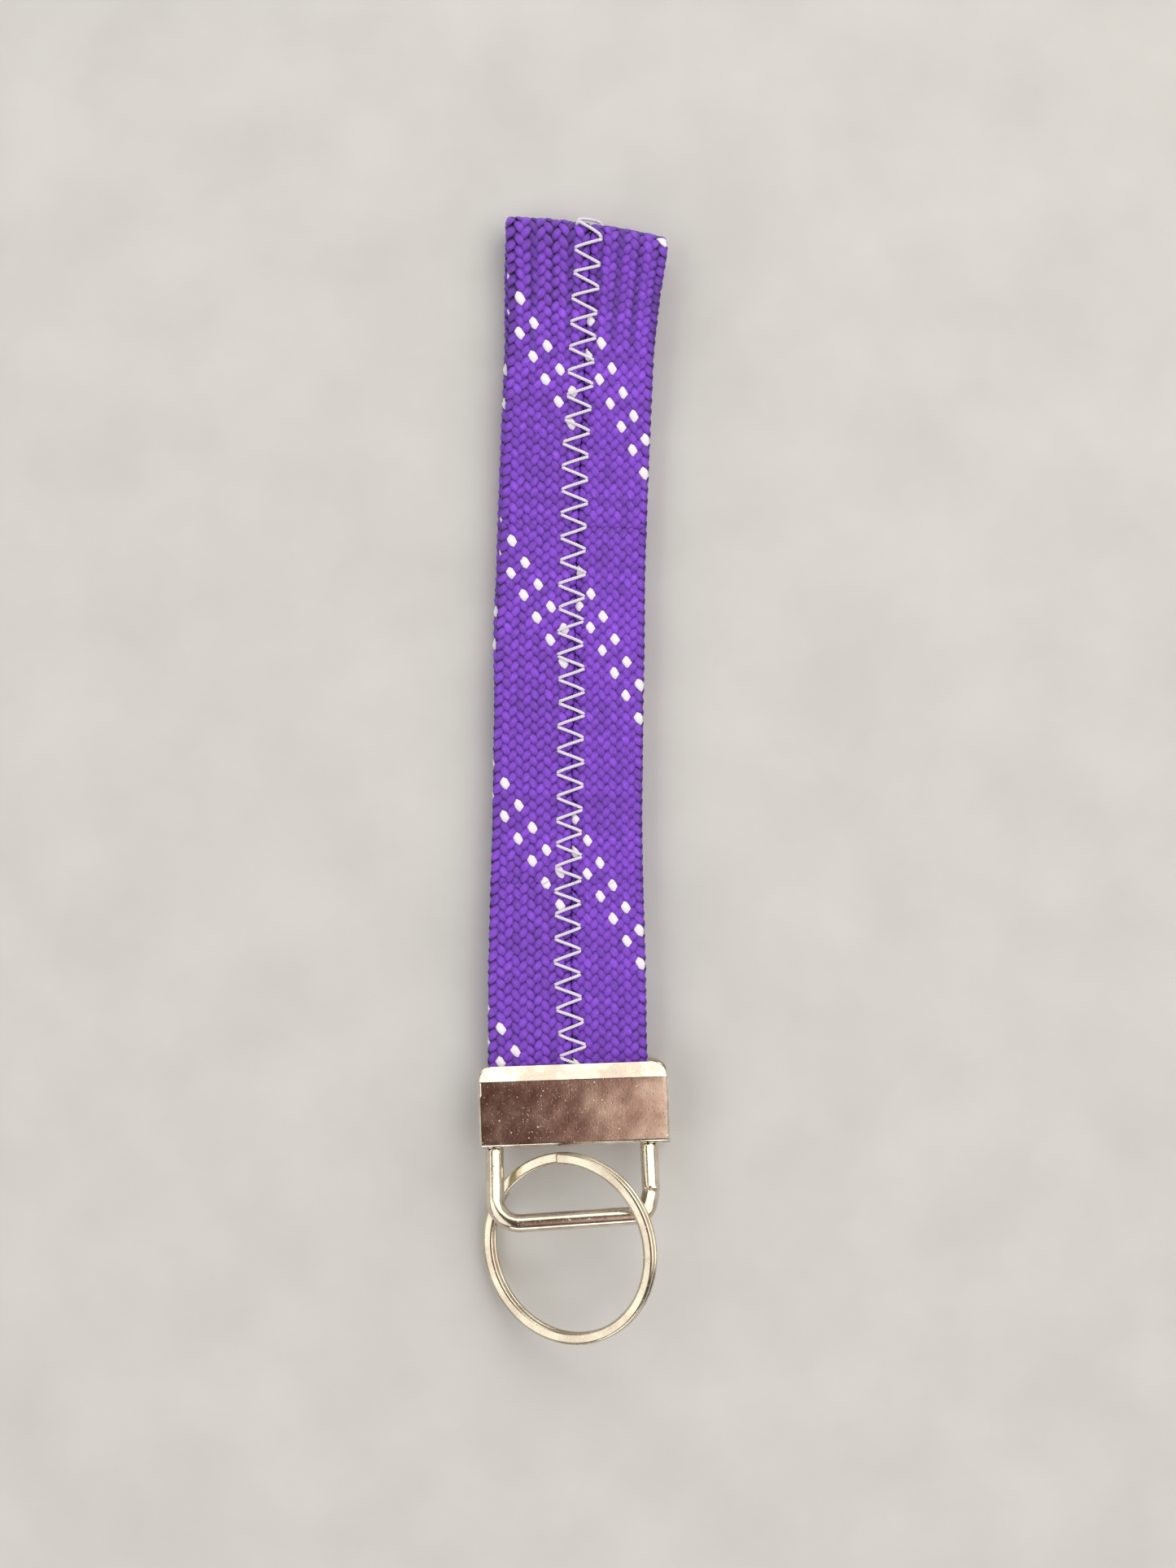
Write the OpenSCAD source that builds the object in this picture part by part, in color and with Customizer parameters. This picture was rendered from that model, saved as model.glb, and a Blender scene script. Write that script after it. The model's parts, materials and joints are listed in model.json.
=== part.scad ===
// Wristlet keychain: two flat braided laces sewn side by side, folded into a wrist loop,
// crimped in a sheet-metal clamp that carries a wire bail and a split key ring.
// +Y runs from the ring to the fold, +Z is up from the table, and the origin is the
// middle of the clamp's flat back face. Units are millimetres.

/* [Clamp] */
// Width of the clamp across the strap
clamp_w = 26.5; // [25:0.1:30]
// Length of the clamp along the strap
clamp_h = 11.3; // [10.5:0.1:14]
// Thickness of the closed clamp
clamp_t = 6.4; // [6.2:0.1:7.5]
// Thickness of the sheet metal
sheet_t = 0.6; // [0.5:0.05:0.7]
// Length of the bent lip at the mouth
lip_h = 2.0; // [1.5:0.1:2.5]
// How far each lip bends inwards
lip_drop = 1.2; // [1:0.05:1.3]
// Radius of the lip's corners
lip_corner_r = 1.8; // [1:0.1:2.5]
// Bevel along the sides of both jaws
side_bevel = 0.4; // [0.2:0.05:0.5]
// Number of teeth on each lip
teeth = 9; // [5:1:10]

/* [Bail] */
// Diameter of the bail wire
wire_d = 2.5; // [2.2:0.05:2.6]
// Distance between the centres of the two legs
leg_span = 21.6; // [20:0.1:22]
// Length of the legs from the pivot to the bottom bar
leg_len = 13.3; // [12.8:0.1:15]
// Bend radius of the bottom corners, to the wire's centre
bail_corner_r = 3.4; // [2:0.1:4]
// Angle of the resting bail above the clamp's middle plane
bail_rise = 27; // [0:0.5:28]
// Sideways place of the bail in the clamp
bail_shift = -0.5; // [-0.5:0.1:0.5]

/* [Split ring] */
// Outer diameter of the split ring
ring_od = 26.6; // [25:0.1:28]
// Radial width of the ring wire
ring_w = 1.6; // [1.2:0.1:2]
// Thickness of one coil of the ring
coil_t = 0.86; // [0.7:0.02:0.9]
// Tilt of the resting ring, right side up
ring_tilt = 26.5; // [26:0.5:30]

/* [Strap] */
// Width of one lace
lace_w = 10.3; // [9:0.1:11]
// Thickness of one lace
lace_t = 1.7; // [1.4:0.05:1.8]
// Gap between the two laces
seam_gap = 0.3; // [0.1:0.05:0.5]
// Gap between the two layers of the loop
layer_gap = 0.5; // [0.45:0.05:0.6]
// Length of each half of the loop, between its bending lines
half_len = 50; // [40:1:60]
// Sideways drift of the lower half of the loop
drift_lower = 1.9; // [0:0.1:3]
// Sideways drift of the upper half of the loop
drift_upper = 3.5; // [0:0.1:4]
// Length of the folded end past the upper bending line
fold_len = 16.4; // [15:0.1:20]
// Slant of the folded end
fold_yaw = 6; // [0:1:8]

/* [Stitching] */
// Width of the zigzag stitch
stitch_w = 3.5; // [3:0.1:4]
// Distance between two stitches on the same side
stitch_pitch = 3.3; // [2.5:0.1:4]
// Width of the sewing thread
thread_w = 0.42; // [0.3:0.02:0.5]

/* [Hidden] */
$fn = 48;
eps = 0.01;

nickel = "#cfc9bd";
purple = "#7d4ebc";
white = "#f6f0f8";

mid_z = clamp_t / 2;

// Clamp
web_bend_r = 0.8;
mouth_y = clamp_h / 2;
lip_y = mouth_y - lip_h;
lip_inner = lip_drop + sheet_t * 1.1;
bite_gap = clamp_t - 2 * lip_inner;
slot_clearance = 0.2;
tooth_w = 0.9;
tooth_h = 0.3;
tooth_l = 0.8;

// Bail: its top bar lies behind the web and is the pivot
wire_r = wire_d / 2;
pivot_y = -clamp_h / 2 + sheet_t + wire_r + 0.1;
bail_top_r = 1.5;
butt_gap = 0.1;

// Split ring
ring_r = (ring_od - ring_w) / 2;
coil_gap = 0.06;
ring_pos = [-1.4, -19.7, 6.85];
jog_start = 119;
jog_angle = 46;
ring_step = 7;

// Strap: bending lines are at the mouth, half way and before the fold
root_y = mouth_y + 0.25;
half_y = root_y + half_len;
fold_y = half_y + half_len;
root_x = -0.7;
half_x = root_x + drift_lower;
fold_x = half_x + drift_upper;
layer_z = (layer_gap + lace_t) / 2;
joint_clearance = 0.05;
thread_end = 0.45;
thread_side = thread_w / 2 * norm([stitch_w, stitch_pitch / 2]) / (stitch_pitch / 2);
stitch_swing = stitch_w - thread_w;
needle_t = 0.3;
bobbin_t = 0.18;
clamped_lace_w = lace_w + 0.6;
clamped_y = -1.6;

// Folded end: each layer swings out on an S-bend and the two meet round a loop
needle_lift = 0.14;
loop_outer_r = clamp_t / 2 - needle_t - needle_lift - 0.02;
loop_r = loop_outer_r - lace_t / 2;
sway_r = 6;
sway_angle = acos(1 - (loop_r - layer_z) / (2 * sway_r));
sway_len = 2 * sway_r * sin(sway_angle);
loop_y = fold_y + fold_len - loop_outer_r;
loop_x = fold_x + (loop_y - fold_y) * tan(fold_yaw);

function unit(v) = v / norm(v);

// Points [y, z, direction] along an arc about c, from angle a to angle b
function arc_run(c, r, a, b, steps) = [
    for (i = [0:steps])
        let (t = a + (b - a) * i / steps)
        [c.x + r * cos(t), c.y + r * sin(t), t + (b > a ? 90 : -90)]
];

// Upper half of the folded end's centre line, in its own frame about the loop's centre
function fold_front() = concat(
    [[-fold_len - 4, layer_z, 0]],
    arc_run([-sway_len, layer_z + sway_r], sway_r, -90, -90 + sway_angle, 4),
    arc_run([0, loop_r - sway_r], sway_r, 90 + sway_angle, 90, 4),
    arc_run([0, 0], loop_r, 82, 0, 10)
);

function mirrored(run) = [
    for (i = [len(run) - 2:-1:0]) [run[i][0], -run[i][1], 180 - run[i][2]]
];

function fold_run() = concat(fold_front(), mirrored(fold_front()));

// The same line moved sideways by d, to the outside of the loop for a positive d
function beside(run, d) = [for (p = run) [p[0] - d * sin(p[2]), p[1] + d * cos(p[2])]];

// Distances along a line of points, and the point at one distance
function runs_to(line, i = 0, sum = 0) =
    i >= len(line) - 1 ? [sum]
    : concat([sum], runs_to(line, i + 1, sum + norm(line[i + 1] - line[i])));
function at_run(line, dist, s, i = 0) =
    i >= len(line) - 2 || dist[i + 1] >= s
    ? let (k = (s - dist[i]) / (dist[i + 1] - dist[i]))
        [line[i] + (line[i + 1] - line[i]) * k, unit(line[i + 1] - line[i])]
    : at_run(line, dist, s, i + 1);

// Turns a drawing in (y, z) into a bar along X, centred on x = 0
module across(width) {
    rotate([90, 0, 90]) linear_extrude(height = width, center = true) children();
}

// Quads that join rings of the same number of points, with both ends closed
function tube_faces(rings, sides) = concat(
    [[for (j = [0:sides - 1]) j]],
    [for (i = [0:rings - 2]) for (j = [0:sides - 1])
        [i * sides + j, (i + 1) * sides + j,
         (i + 1) * sides + (j + 1) % sides, i * sides + (j + 1) % sides]],
    [[for (j = [sides - 1:-1:0]) (rings - 1) * sides + j]]
);

// ---------- clamp ----------

module rounded_block(y0, y1, z0, z1, r) {
    translate([y0 + r, z0]) square([y1 - y0 - r, z1 - z0]);
    translate([y0, z0 + r]) square([y1 - y0, z1 - z0 - 2 * r]);
    translate([y0 + r, z0 + r]) circle(r);
    translate([y0 + r, z1 - r]) circle(r);
}

// The bent sheet seen from its side
module clamp_side() {
    difference() {
        union() {
            rounded_block(-clamp_h / 2, lip_y, 0, clamp_t, web_bend_r);
            polygon([
                [lip_y - eps, 0], [mouth_y, lip_drop],
                [mouth_y, clamp_t - lip_drop], [lip_y - eps, clamp_t]
            ]);
        }
        rounded_block(-clamp_h / 2 + sheet_t, lip_y - 0.2, sheet_t, clamp_t - sheet_t,
                      web_bend_r - sheet_t);
        polygon([
            [lip_y - 0.2 - eps, sheet_t], [mouth_y + eps, lip_inner],
            [mouth_y + eps, clamp_t - lip_inner], [lip_y - 0.2 - eps, clamp_t - sheet_t]
        ]);
    }
}

// Outline from above: square at the web, round at the lips
module clamp_plan() {
    c = clamp_w / 2 - lip_corner_r;
    translate([-clamp_w / 2, -clamp_h / 2]) square([clamp_w, clamp_h - lip_corner_r]);
    translate([-c, -clamp_h / 2]) square([2 * c, clamp_h]);
    for (s = [-1, 1]) translate([s * c, mouth_y - lip_corner_r]) circle(lip_corner_r);
}

// Outline from the mouth: a rectangle with its four long edges bevelled
module clamp_front() {
    w = clamp_w / 2;
    b = side_bevel;
    polygon([
        [-w + b, 0], [w - b, 0], [w, b], [w, clamp_t - b],
        [w - b, clamp_t], [-w + b, clamp_t], [-w, clamp_t - b], [-w, b]
    ]);
}

module tooth_row() {
    pitch = (clamp_w - 2 * lip_corner_r) / teeth;
    for (i = [0:teeth - 1])
        translate([(i - (teeth - 1) / 2) * pitch, mouth_y - 0.1, lip_inner - 0.25])
            rotate([90, 0, 0])
                linear_extrude(height = tooth_l)
                    polygon([[-tooth_w / 2, 0], [tooth_w / 2, 0], [0, tooth_h + 0.25]]);
}

module clamp_shell() {
    slot_w = wire_d + 2 * slot_clearance;
    color(nickel) {
        difference() {
            intersection() {
                across(clamp_w + 2) clamp_side();
                translate([0, 0, -1]) linear_extrude(height = clamp_t + 2) clamp_plan();
                translate([0, clamp_h, 0]) rotate([90, 0, 0])
                    linear_extrude(height = 2 * clamp_h) clamp_front();
            }
            for (s = [-1, 1])
                translate([bail_shift + s * leg_span / 2 - slot_w / 2, -clamp_h / 2 - 1, sheet_t])
                    cube([slot_w, 1 + sheet_t + 0.9, clamp_t - 2 * sheet_t]);
        }
        tooth_row();
        translate([0, 0, clamp_t]) mirror([0, 0, 1]) tooth_row();
    }
}

// ---------- bail ----------

// Quarter bend about the corner's own centre, starting at angle start
module wire_corner(x, y, r, start) {
    translate([x, y, 0]) rotate([0, 0, start])
        rotate_extrude(angle = 90) translate([r, 0]) circle(wire_r);
}

module wire_straight(x, y, len, turn) {
    translate([x, y, 0]) rotate([0, 0, turn]) rotate([0, 90, 0])
        cylinder(r = wire_r, h = len);
}

// Wire loop drawn flat: x across, y away from the pivot, cut by its own butt joint
module bail_flat() {
    w = leg_span / 2;
    t = bail_top_r;
    c = bail_corner_r;
    difference() {
        union() {
            wire_straight(-w + t, 0, leg_span - 2 * t, 0);
            wire_straight(-w + c, leg_len, leg_span - 2 * c, 0);
            for (x = [-w, w]) wire_straight(x, t, leg_len - t - c, 90);
            wire_corner(w - t, t, t, -90);
            wire_corner(-w + t, t, t, 180);
            wire_corner(w - c, leg_len - c, c, 0);
            wire_corner(-w + c, leg_len - c, c, 90);
        }
        translate([w - 2, leg_len - c - 0.6, -2]) cube([4, butt_gap, 4]);
    }
}

module bail() {
    color(nickel)
        translate([bail_shift, pivot_y, mid_z]) rotate([180 - bail_rise, 0, 0]) bail_flat();
}

// ---------- split ring ----------

// Height of the wire at an angle: one coil, a slope up over the jog, then the second coil
function coil_z(a) =
    let (k = (a - 360) / jog_angle + 0.5, s = min(1, max(0, k)))
    (s * s * (3 - 2 * s) - 0.5) * (coil_t + coil_gap);

function ring_section(a) =
    let (w = ring_w / 2, h = coil_t / 2, b = coil_t * 0.25, dir = a + jog_start)
    [for (p = [[-w + b, -h], [w - b, -h], [w, -h + b], [w, h - b],
               [w - b, h], [-w + b, h], [-w, h - b], [-w, -h + b]])
        [(ring_r + p[0]) * cos(dir), (ring_r + p[0]) * sin(dir), coil_z(a) + p[1]]];

module split_ring() {
    first = jog_angle / 2 + 1;
    last = 720 - jog_angle / 2 - 1;
    count = ceil((last - first) / ring_step);
    angles = [for (i = [0:count]) first + (last - first) * i / count];
    color(nickel)
        translate(ring_pos) rotate([0, -ring_tilt, 0])
            polyhedron(
                points = [for (a = angles) each ring_section(a)],
                faces = tube_faces(count + 1, 8), convexity = 6
            );
}

// ---------- strap ----------

// Cross-section of a lace: flat with round edges, standing on z = 0 and centred on x = 0
module lace_section(w, t) {
    translate([-(w - t) / 2, 0]) square([w - t, t]);
    for (s = [-1, 1]) translate([s * (w - t) / 2, t / 2]) circle(t / 2);
}

// One lace of one half layer, cut square at both bending lines
module lace_bar(side, x0, y0, x1, y1, z0) {
    lean = atan2(x1 - x0, y1 - y0);
    shift = side * (lace_w + seam_gap) / 2;
    color(purple)
        intersection() {
            translate([x0 + shift, y0, z0]) rotate([0, 0, -lean]) translate([0, -2, 0])
                rotate([90, 0, 0]) mirror([0, 0, 1])
                    linear_extrude(height = y1 - y0 + 5) lace_section(lace_w, lace_t);
            translate([-50, y0 + joint_clearance, -5])
                cube([100, y1 - y0 - 2 * joint_clearance, 20]);
        }
}

// Zigzag of one layer, seen from above: the stitch line widened sideways
module zigzag_plan(x0, y0, x1, y1) {
    first = y0 + thread_end;
    last = y1 - thread_end;
    legs = round((last - first) / (stitch_pitch / 2));
    line = [for (i = [0:legs])
        let (y = first + (last - first) * i / legs)
        [x0 + (x1 - x0) * (y - y0) / (y1 - y0) + (i % 2 - 0.5) * stitch_swing, y]];
    polygon(concat(
        [for (i = [0:legs]) line[i] + [thread_side, 0]],
        [for (i = [legs:-1:0]) line[i] - [thread_side, 0]]
    ));
}

module zigzag_bar(x0, y0, x1, y1, z0, t) {
    color(white) translate([0, 0, z0]) linear_extrude(height = t) zigzag_plan(x0, y0, x1, y1);
}

front_bottom = mid_z + layer_gap / 2;
back_bottom = mid_z - layer_gap / 2 - lace_t;

module lower_lace(side, z0) { lace_bar(side, root_x, root_y, half_x, half_y, z0); }
module upper_lace(side, z0) { lace_bar(side, half_x, half_y, fold_x, fold_y, z0); }
module lower_zigzag(z0, t) { zigzag_bar(root_x, root_y, half_x, half_y, z0, t); }
module upper_zigzag(z0, t) { zigzag_bar(half_x, half_y, fold_x, fold_y, z0, t); }

module left_lace_front_lower() { lower_lace(-1, front_bottom); }
module right_lace_front_lower() { lower_lace(1, front_bottom); }
module needle_thread_front_lower() { lower_zigzag(front_bottom + lace_t, needle_t); }
module bobbin_thread_front_lower() { lower_zigzag(front_bottom - bobbin_t, bobbin_t); }

module left_lace_front_upper() { upper_lace(-1, front_bottom); }
module right_lace_front_upper() { upper_lace(1, front_bottom); }
module needle_thread_front_upper() { upper_zigzag(front_bottom + lace_t, needle_t); }
module bobbin_thread_front_upper() { upper_zigzag(front_bottom - bobbin_t, bobbin_t); }

module left_lace_back_upper() { upper_lace(-1, back_bottom); }
module right_lace_back_upper() { upper_lace(1, back_bottom); }
module needle_thread_back_upper() { upper_zigzag(back_bottom - needle_t, needle_t); }
module bobbin_thread_back_upper() { upper_zigzag(back_bottom + lace_t, bobbin_t); }

module left_lace_back_lower() { lower_lace(-1, back_bottom); }
module right_lace_back_lower() { lower_lace(1, back_bottom); }
module needle_thread_back_lower() { lower_zigzag(back_bottom - needle_t, needle_t); }
module bobbin_thread_back_lower() { lower_zigzag(back_bottom + lace_t, bobbin_t); }

// Both ends of one lace, pressed flat between the lips
module clamped_ends(side) {
    t = (bite_gap - 0.1) / 2;
    w = clamped_lace_w;
    color(purple)
        for (z0 = [mid_z + 0.05, mid_z - 0.05 - t])
            translate([root_x + side * (w + seam_gap) / 2, clamped_y, z0])
                rotate([90, 0, 0]) mirror([0, 0, 1])
                    linear_extrude(height = mouth_y - clamped_y) lace_section(w, t);
}

module left_lace_clamped_ends() { clamped_ends(-1); }
module right_lace_clamped_ends() { clamped_ends(1); }

// Places a drawing of the folded end and cuts it at the upper bending line
module at_fold(clearance) {
    intersection() {
        translate([loop_x, loop_y, mid_z]) rotate([0, 0, -fold_yaw]) children();
        translate([-50, fold_y + clearance, -10]) cube([120, 60, 40]);
    }
}

module fold_lace(side) {
    run = fold_run();
    outer = beside(run, lace_t / 2);
    inner = beside(run, -lace_t / 2);
    color(purple)
        at_fold(joint_clearance)
            translate([side * (lace_w + seam_gap) / 2, 0, 0])
                across(lace_w)
                    polygon(concat(outer, [for (i = [len(inner) - 1:-1:0]) inner[i]]));
}

module left_lace_fold() { fold_lace(-1); }
module right_lace_fold() { fold_lace(1); }

// Zigzag laid on the folded end, offset_d from the lace's middle and t thick
module fold_zigzag(offset_d, t) {
    line = beside(fold_run(), offset_d);
    dist = runs_to(line);
    total = dist[len(dist) - 1];
    legs = round(total / (stitch_pitch / 2));
    color(white)
        at_fold(thread_end)
            polyhedron(
                points = [for (i = [0:legs])
                    let (
                        q = at_run(line, dist, total * i / legs),
                        c = [(i % 2 - 0.5) * stitch_swing, q[0].x, q[0].y],
                        a = [thread_side, 0, 0],
                        n = [0, -q[1].y, q[1].x] * t / 2
                    )
                    each [c + a + n, c + a - n, c - a - n, c - a + n]],
                faces = tube_faces(legs + 1, 4), convexity = 8
            );
}

module needle_thread_fold() { fold_zigzag(lace_t / 2 + needle_lift + needle_t / 2, needle_t); }
module bobbin_thread_fold() { fold_zigzag(-lace_t / 2 - bobbin_t / 2 - 0.03, bobbin_t); }

clamp_shell();
bail();
split_ring();
left_lace_clamped_ends();
right_lace_clamped_ends();
left_lace_front_lower();
right_lace_front_lower();
needle_thread_front_lower();
bobbin_thread_front_lower();
left_lace_front_upper();
right_lace_front_upper();
needle_thread_front_upper();
bobbin_thread_front_upper();
left_lace_fold();
right_lace_fold();
needle_thread_fold();
bobbin_thread_fold();
left_lace_back_upper();
right_lace_back_upper();
needle_thread_back_upper();
bobbin_thread_back_upper();
left_lace_back_lower();
right_lace_back_lower();
needle_thread_back_lower();
bobbin_thread_back_lower();
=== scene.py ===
import json
import math
import random

import bpy
import numpy as np
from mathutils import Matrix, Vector


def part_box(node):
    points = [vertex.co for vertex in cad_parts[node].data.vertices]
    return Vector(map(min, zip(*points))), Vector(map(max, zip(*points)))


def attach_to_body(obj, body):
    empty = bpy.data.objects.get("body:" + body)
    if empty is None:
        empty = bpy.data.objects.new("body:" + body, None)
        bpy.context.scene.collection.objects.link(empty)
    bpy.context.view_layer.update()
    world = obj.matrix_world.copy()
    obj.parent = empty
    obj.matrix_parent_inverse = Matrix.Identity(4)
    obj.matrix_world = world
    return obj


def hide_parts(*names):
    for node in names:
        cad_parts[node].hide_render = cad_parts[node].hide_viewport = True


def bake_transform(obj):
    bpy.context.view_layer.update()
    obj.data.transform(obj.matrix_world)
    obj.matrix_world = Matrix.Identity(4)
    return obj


# Wristlet keychain: two flat braided laces sewn together, a sheet-metal clamp, a wire bail
# and a split ring. Shapes are made in millimetres and make_mesh() turns them to metres; the
# materials' scales and bumps, the lights and the camera are in metres.
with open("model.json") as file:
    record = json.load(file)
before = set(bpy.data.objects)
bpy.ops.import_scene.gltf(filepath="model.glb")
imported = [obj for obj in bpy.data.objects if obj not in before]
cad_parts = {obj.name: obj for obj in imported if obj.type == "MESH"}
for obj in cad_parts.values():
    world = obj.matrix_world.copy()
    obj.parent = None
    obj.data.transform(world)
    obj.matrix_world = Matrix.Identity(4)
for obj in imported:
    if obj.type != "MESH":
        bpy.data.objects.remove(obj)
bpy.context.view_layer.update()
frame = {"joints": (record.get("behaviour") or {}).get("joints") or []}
rng = random.Random(11)
TO_MM = 1000
TO_M = 0.001
joints = {j["name"]: [p * TO_MM for p in j["pos_m"]] for j in frame["joints"]}


def box_mm(node):
    low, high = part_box(node)
    return np.array(low) * TO_MM, np.array(high) * TO_MM


# ---------- sizes taken from the frame ----------

shell_low, shell_high = box_mm("clamp_shell")
lace_low, lace_high = box_mm("left_lace_front_lower")
fold_low, fold_high = box_mm("left_lace_fold")
CLAMP_HALF_W = shell_high[0]
MOUTH_Y = shell_high[1]
CLAMP_T = shell_high[2]
MID_Z = CLAMP_T / 2
LACE_T = lace_high[2] - lace_low[2]
LAYER = lace_low[2] + LACE_T / 2 - MID_Z  # distance of each layer from the middle
LOOP_R = (fold_high[2] - fold_low[2] - LACE_T) / 2
HALF_Y = joints["front_bend"][1]
FOLD_Y = joints["fold_front_bend"][1]

# ---------- small helpers ----------


def smooth(t):
    t = np.clip(t, 0.0, 1.0)
    return t * t * (3 - 2 * t)


def fade(at, start, length):
    """Goes smoothly from 0 at the start to 1 after the length."""
    return smooth((at - start) / length)


def through(at, pairs):
    """The value at a place on the line through (place, value) pairs."""
    places, values = zip(*pairs)
    return np.interp(at, places, values)


def unit(v):
    return v / np.linalg.norm(v, axis=-1, keepdims=True)


def run_along(points):
    """Distance from a line's first point to each of its points."""
    return np.concatenate([[0], np.linalg.norm(np.diff(points, axis=0), axis=1).cumsum()])


def rounded_path(points, radii, step, turn=10):
    """Points along a 2D line with its inner corners rounded to the given radii."""
    pts = [np.array(p, float) for p in points]
    out = [pts[0]]
    for i in range(1, len(pts) - 1):
        a, b = unit(pts[i - 1] - pts[i]), unit(pts[i + 1] - pts[i])
        corner = math.acos(np.clip(a @ b, -1, 1))
        bend = math.pi - corner
        reach = radii[i - 1] / math.tan(corner / 2)
        centre = pts[i] + unit(a + b) * radii[i - 1] / math.sin(corner / 2)
        start = pts[i] + a * reach - centre
        side = 1 if a[0] * b[1] - a[1] * b[0] < 0 else -1
        count = max(2, int(math.degrees(bend) / turn))
        for k in range(count + 1):
            t = side * bend * k / count
            out.append(centre + np.array([start[0] * math.cos(t) - start[1] * math.sin(t),
                                          start[0] * math.sin(t) + start[1] * math.cos(t)]))
    out.append(pts[-1])
    fine = [out[0]]
    for p, q in zip(out, out[1:]):
        count = max(1, int(math.ceil(np.linalg.norm(q - p) / step)))
        fine += [p + (q - p) * k / count for k in range(1, count + 1)]
    return np.array(fine)


class Tubes:
    """Collects closed tubes of rings and makes one mesh object of them.

    Each tube carries how far out of the braid its points lie, which the yarn and thread materials
    turn into painted shade, its tone and whether it is white.
    """

    def __init__(self):
        self.verts, self.faces, self.uvs, self.count = [], [], [], 0
        self.layers = {"depth": [], "tone": [], "tracer": []}

    def add(self, rings, along, depth, tone=0.5, tracer=0.0):
        """Walls between the rings and a cap at each end, with UVs along and round the tube."""
        steps, sides = rings.shape[:2]
        i, j = np.meshgrid(np.arange(steps - 1), np.arange(sides), indexing="ij")
        a, b = i * sides, (i + 1) * sides
        k = (j + 1) % sides
        quads = np.stack([a + j, b + j, b + k, a + k], -1)
        self.faces += (quads.reshape(-1, 4) + self.count).tolist()
        v0, v1 = j / sides, (j + 1) / sides
        u0, u1 = along[i], along[i + 1]
        self.uvs.append(np.stack([u0, v0, u1, v0, u1, v1, u0, v1], -1).reshape(-1))
        last = self.count + (steps - 1) * sides
        for base, row, at in ((self.count, range(sides), along[0]),
                              (last, range(sides - 1, -1, -1), along[-1])):
            self.faces.append([base + q for q in row])
            self.uvs.append(np.array([c for q in row for c in (at, q / sides)], float))
        self.verts.append(rings.reshape(-1, 3))
        self.count += steps * sides
        self.layers["depth"].append(np.broadcast_to(depth, (steps, sides)).reshape(-1))
        self.layers["tone"].append(np.full(steps * sides, tone))
        self.layers["tracer"].append(np.full(steps * sides, tracer))

    def make(self, name, material):
        obj = make_mesh(name, np.concatenate(self.verts), self.faces, material)
        mesh = obj.data
        layer = mesh.uv_layers.new(name="along")
        layer.data.foreach_set("uv", np.concatenate(self.uvs).astype(np.float32))
        for key, values in self.layers.items():
            attribute = mesh.attributes.new(key, "FLOAT", "POINT")
            attribute.data.foreach_set("value", np.concatenate(values).astype(np.float32))
        return obj


def make_mesh(name, verts, faces, material):
    """A smooth-shaded mesh object from points in millimetres."""
    mesh = bpy.data.meshes.new(name)
    flat = np.concatenate([np.asarray(f, np.int32) for f in faces])
    totals = np.array([len(f) for f in faces], np.int32)
    mesh.vertices.add(len(verts))
    mesh.vertices.foreach_set("co", (np.asarray(verts) * TO_M).astype(np.float32).ravel())
    mesh.loops.add(len(flat))
    mesh.loops.foreach_set("vertex_index", flat)
    mesh.polygons.add(len(totals))
    mesh.polygons.foreach_set("loop_start", np.concatenate([[0], totals.cumsum()[:-1]]))
    mesh.polygons.foreach_set("loop_total", totals)
    mesh.polygons.foreach_set("use_smooth", np.ones(len(totals), bool))
    mesh.update(calc_edges=True)
    mesh.validate()
    obj = bpy.data.objects.new(name, mesh)
    bpy.context.scene.collection.objects.link(obj)
    mesh.materials.append(material)
    return obj


def tube_rings(centres, normals, half_w, half_t, sides):
    """Elliptic rings about a line of centres, with half_t along each normal."""
    tangents = unit(np.gradient(centres, axis=0))
    n = unit(normals - (normals * tangents).sum(-1, keepdims=True) * tangents)
    b = np.cross(tangents, n)
    phi = np.arange(sides) * 2 * np.pi / sides
    c, s = np.cos(phi)[None, :, None], np.sin(phi)[None, :, None]
    return (centres[:, None] + b[:, None] * c * np.reshape(half_w, (-1, 1, 1))
            + n[:, None] * s * np.reshape(half_t, (-1, 1, 1)))


def carried_normals(centres, first):
    """Normals that turn as little as they can along a line of centres."""
    tangents = unit(np.gradient(centres, axis=0))
    out = np.empty_like(centres)
    n = np.array(first, float)
    for i, t in enumerate(tangents):
        n = n - t * (n @ t)
        n = n / math.sqrt(n @ n)
        out[i] = n
    return out


# ---------- materials ----------

COLOUR_MIX_INPUTS = (0, 6, 7)  # factor, A and B of a Mix node that mixes colours
COLOUR_MIX_RESULT = 2


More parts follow.
